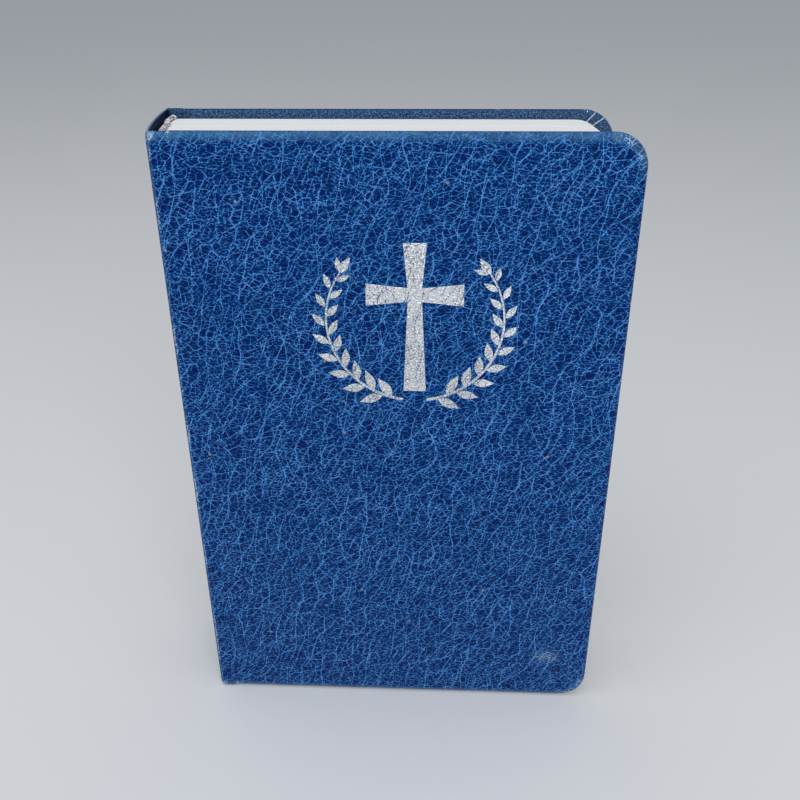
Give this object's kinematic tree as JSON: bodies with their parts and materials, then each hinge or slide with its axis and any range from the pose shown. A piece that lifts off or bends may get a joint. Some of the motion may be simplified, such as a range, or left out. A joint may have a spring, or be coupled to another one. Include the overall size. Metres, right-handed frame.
{
  "type": "bible",
  "caption": "Thick bible in blue grained imitation leather with round fore-edge corners; covers hinge open and the sewn sections fan out after them.",
  "frame": {"origin": "middle of the footprint, on the plane of the tail edges", "axes": "+Z from tail to head, +X from spine to fore edge, -Y out of the front cover"},
  "size_m": [0.1514, 0.038, 0.222],
  "materials": {
    "cover_leather": "semi-gloss imitation leather, two-tone pebble grain",
    "cover_board": "matt grey binder's board",
    "spine_card": "matt kraft card",
    "endpaper": "smooth white uncoated stock",
    "leaf_paper": "thin white printing paper, trimmed edges",
    "gauze": "open cotton gauze, stiffened with glue",
    "band_cloth": "ribbed cotton band, faded",
    "linen_thread": "waxed linen",
    "foil": "bright silver stamping foil, cracked along the grain"
  },
  "bodies": {
    "text_block_spine": {"spine_leather": "cover_leather", "spine_inlay": "spine_card", "spine_lining": "spine_card", "mull": "gauze", "head_band": "band_cloth", "tail_band": "band_cloth", "sewing_thread_1": "linen_thread", "sewing_thread_2": "linen_thread", "sewing_thread_3": "linen_thread", "sewing_thread_4": "linen_thread", "sewing_thread_5": "linen_thread", "signature_13": "leaf_paper"},
    "front_cover": {"front_cover_leather": "cover_leather", "front_board": "cover_board", "front_mull_flap": "gauze", "front_pastedown": "endpaper"},
    "back_cover": {"back_cover_leather": "cover_leather", "back_board": "cover_board", "back_mull_flap": "gauze", "back_pastedown": "endpaper"},
    "front_endleaf": {"front_flyleaf": "endpaper"},
    "back_endleaf": {"back_flyleaf": "endpaper"},
    "section_01": {"signature_01": "leaf_paper"},
    "section_02": {"signature_02": "leaf_paper"},
    "section_03": {"signature_03": "leaf_paper"},
    "section_04": {"signature_04": "leaf_paper"},
    "section_05": {"signature_05": "leaf_paper"},
    "section_06": {"signature_06": "leaf_paper"},
    "section_07": {"signature_07": "leaf_paper"},
    "section_08": {"signature_08": "leaf_paper"},
    "section_09": {"signature_09": "leaf_paper"},
    "section_10": {"signature_10": "leaf_paper"},
    "section_11": {"signature_11": "leaf_paper"},
    "section_12": {"signature_12": "leaf_paper"},
    "section_25": {"signature_25": "leaf_paper"},
    "section_24": {"signature_24": "leaf_paper"},
    "section_23": {"signature_23": "leaf_paper"},
    "section_22": {"signature_22": "leaf_paper"},
    "section_21": {"signature_21": "leaf_paper"},
    "section_20": {"signature_20": "leaf_paper"},
    "section_19": {"signature_19": "leaf_paper"},
    "section_18": {"signature_18": "leaf_paper"},
    "section_17": {"signature_17": "leaf_paper"},
    "section_16": {"signature_16": "leaf_paper"},
    "section_15": {"signature_15": "leaf_paper"},
    "section_14": {"signature_14": "leaf_paper"}
  },
  "joints": [
    {"name": "front_cover_hinge", "type": "hinge", "parent": "text_block_spine", "child": "front_cover", "pos_m": [-0.0704, -0.0181, 0], "axis": [0, 0, -1], "range_deg": [0, 179]},
    {"name": "front_endleaf_turn", "type": "hinge", "parent": "text_block_spine", "child": "front_endleaf", "pos_m": [-0.0704, -0.0181, 0], "axis": [0, 0, -1], "range_deg": [0, 170.06]},
    {"name": "section_01_turn", "type": "hinge", "parent": "text_block_spine", "child": "section_01", "pos_m": [-0.0704, -0.0181, 0], "axis": [0, 0, -1], "range_deg": [0, 159.12]},
    {"name": "section_02_turn", "type": "hinge", "parent": "text_block_spine", "child": "section_02", "pos_m": [-0.0704, -0.0181, 0], "axis": [0, 0, -1], "range_deg": [0, 145.86]},
    {"name": "section_03_turn", "type": "hinge", "parent": "text_block_spine", "child": "section_03", "pos_m": [-0.0704, -0.0181, 0], "axis": [0, 0, -1], "range_deg": [0, 132.6]},
    {"name": "section_04_turn", "type": "hinge", "parent": "text_block_spine", "child": "section_04", "pos_m": [-0.0704, -0.0181, 0], "axis": [0, 0, -1], "range_deg": [0, 119.35]},
    {"name": "section_05_turn", "type": "hinge", "parent": "text_block_spine", "child": "section_05", "pos_m": [-0.0704, -0.0181, 0], "axis": [0, 0, -1], "range_deg": [0, 106.09]},
    {"name": "section_06_turn", "type": "hinge", "parent": "text_block_spine", "child": "section_06", "pos_m": [-0.0704, -0.0181, 0], "axis": [0, 0, -1], "range_deg": [0, 92.82]},
    {"name": "section_07_turn", "type": "hinge", "parent": "text_block_spine", "child": "section_07", "pos_m": [-0.0704, -0.0181, 0], "axis": [0, 0, -1], "range_deg": [0, 79.56]},
    {"name": "section_08_turn", "type": "hinge", "parent": "text_block_spine", "child": "section_08", "pos_m": [-0.0704, -0.0181, 0], "axis": [0, 0, -1], "range_deg": [0, 66.31]},
    {"name": "section_09_turn", "type": "hinge", "parent": "text_block_spine", "child": "section_09", "pos_m": [-0.0704, -0.0181, 0], "axis": [0, 0, -1], "range_deg": [0, 53.05]},
    {"name": "section_10_turn", "type": "hinge", "parent": "text_block_spine", "child": "section_10", "pos_m": [-0.0704, -0.0181, 0], "axis": [0, 0, -1], "range_deg": [0, 39.78]},
    {"name": "section_11_turn", "type": "hinge", "parent": "text_block_spine", "child": "section_11", "pos_m": [-0.0704, -0.0181, 0], "axis": [0, 0, -1], "range_deg": [0, 26.52]},
    {"name": "section_12_turn", "type": "hinge", "parent": "text_block_spine", "child": "section_12", "pos_m": [-0.0704, -0.0181, 0], "axis": [0, 0, -1], "range_deg": [0, 13.27]},
    {"name": "back_cover_hinge", "type": "hinge", "parent": "text_block_spine", "child": "back_cover", "pos_m": [-0.0748, 0.0181, 0], "axis": [0, 0, 1], "range_deg": [0, 179]},
    {"name": "back_endleaf_turn", "type": "hinge", "parent": "text_block_spine", "child": "back_endleaf", "pos_m": [-0.0748, 0.0181, 0], "axis": [0, 0, 1], "range_deg": [0, 170.06]},
    {"name": "section_25_turn", "type": "hinge", "parent": "text_block_spine", "child": "section_25", "pos_m": [-0.0748, 0.0181, 0], "axis": [0, 0, 1], "range_deg": [0, 159.12]},
    {"name": "section_24_turn", "type": "hinge", "parent": "text_block_spine", "child": "section_24", "pos_m": [-0.0748, 0.0181, 0], "axis": [0, 0, 1], "range_deg": [0, 145.86]},
    {"name": "section_23_turn", "type": "hinge", "parent": "text_block_spine", "child": "section_23", "pos_m": [-0.0748, 0.0181, 0], "axis": [0, 0, 1], "range_deg": [0, 132.6]},
    {"name": "section_22_turn", "type": "hinge", "parent": "text_block_spine", "child": "section_22", "pos_m": [-0.0748, 0.0181, 0], "axis": [0, 0, 1], "range_deg": [0, 119.35]},
    {"name": "section_21_turn", "type": "hinge", "parent": "text_block_spine", "child": "section_21", "pos_m": [-0.0748, 0.0181, 0], "axis": [0, 0, 1], "range_deg": [0, 106.09]},
    {"name": "section_20_turn", "type": "hinge", "parent": "text_block_spine", "child": "section_20", "pos_m": [-0.0748, 0.0181, 0], "axis": [0, 0, 1], "range_deg": [0, 92.82]},
    {"name": "section_19_turn", "type": "hinge", "parent": "text_block_spine", "child": "section_19", "pos_m": [-0.0748, 0.0181, 0], "axis": [0, 0, 1], "range_deg": [0, 79.56]},
    {"name": "section_18_turn", "type": "hinge", "parent": "text_block_spine", "child": "section_18", "pos_m": [-0.0748, 0.0181, 0], "axis": [0, 0, 1], "range_deg": [0, 66.31]},
    {"name": "section_17_turn", "type": "hinge", "parent": "text_block_spine", "child": "section_17", "pos_m": [-0.0748, 0.0181, 0], "axis": [0, 0, 1], "range_deg": [0, 53.05]},
    {"name": "section_16_turn", "type": "hinge", "parent": "text_block_spine", "child": "section_16", "pos_m": [-0.0748, 0.0181, 0], "axis": [0, 0, 1], "range_deg": [0, 39.78]},
    {"name": "section_15_turn", "type": "hinge", "parent": "text_block_spine", "child": "section_15", "pos_m": [-0.0748, 0.0181, 0], "axis": [0, 0, 1], "range_deg": [0, 26.52]},
    {"name": "section_14_turn", "type": "hinge", "parent": "text_block_spine", "child": "section_14", "pos_m": [-0.0748, 0.0181, 0], "axis": [0, 0, 1], "range_deg": [0, 13.27]}
  ],
  "couplings": [
    {"joint": "front_endleaf_turn", "follows": "front_cover_hinge", "ratio": 0.95},
    {"joint": "section_01_turn", "follows": "front_cover_hinge", "ratio": 0.8889},
    {"joint": "section_02_turn", "follows": "front_cover_hinge", "ratio": 0.8148},
    {"joint": "section_03_turn", "follows": "front_cover_hinge", "ratio": 0.7407},
    {"joint": "section_04_turn", "follows": "front_cover_hinge", "ratio": 0.6667},
    {"joint": "section_05_turn", "follows": "front_cover_hinge", "ratio": 0.5926},
    {"joint": "section_06_turn", "follows": "front_cover_hinge", "ratio": 0.5185},
    {"joint": "section_07_turn", "follows": "front_cover_hinge", "ratio": 0.4444},
    {"joint": "section_08_turn", "follows": "front_cover_hinge", "ratio": 0.3704},
    {"joint": "section_09_turn", "follows": "front_cover_hinge", "ratio": 0.2963},
    {"joint": "section_10_turn", "follows": "front_cover_hinge", "ratio": 0.2222},
    {"joint": "section_11_turn", "follows": "front_cover_hinge", "ratio": 0.1481},
    {"joint": "section_12_turn", "follows": "front_cover_hinge", "ratio": 0.0741},
    {"joint": "back_endleaf_turn", "follows": "back_cover_hinge", "ratio": 0.95},
    {"joint": "section_25_turn", "follows": "back_cover_hinge", "ratio": 0.8889},
    {"joint": "section_24_turn", "follows": "back_cover_hinge", "ratio": 0.8148},
    {"joint": "section_23_turn", "follows": "back_cover_hinge", "ratio": 0.7407},
    {"joint": "section_22_turn", "follows": "back_cover_hinge", "ratio": 0.6667},
    {"joint": "section_21_turn", "follows": "back_cover_hinge", "ratio": 0.5926},
    {"joint": "section_20_turn", "follows": "back_cover_hinge", "ratio": 0.5185},
    {"joint": "section_19_turn", "follows": "back_cover_hinge", "ratio": 0.4444},
    {"joint": "section_18_turn", "follows": "back_cover_hinge", "ratio": 0.3704},
    {"joint": "section_17_turn", "follows": "back_cover_hinge", "ratio": 0.2963},
    {"joint": "section_16_turn", "follows": "back_cover_hinge", "ratio": 0.2222},
    {"joint": "section_15_turn", "follows": "back_cover_hinge", "ratio": 0.1481},
    {"joint": "section_14_turn", "follows": "back_cover_hinge", "ratio": 0.0741}
  ]
}
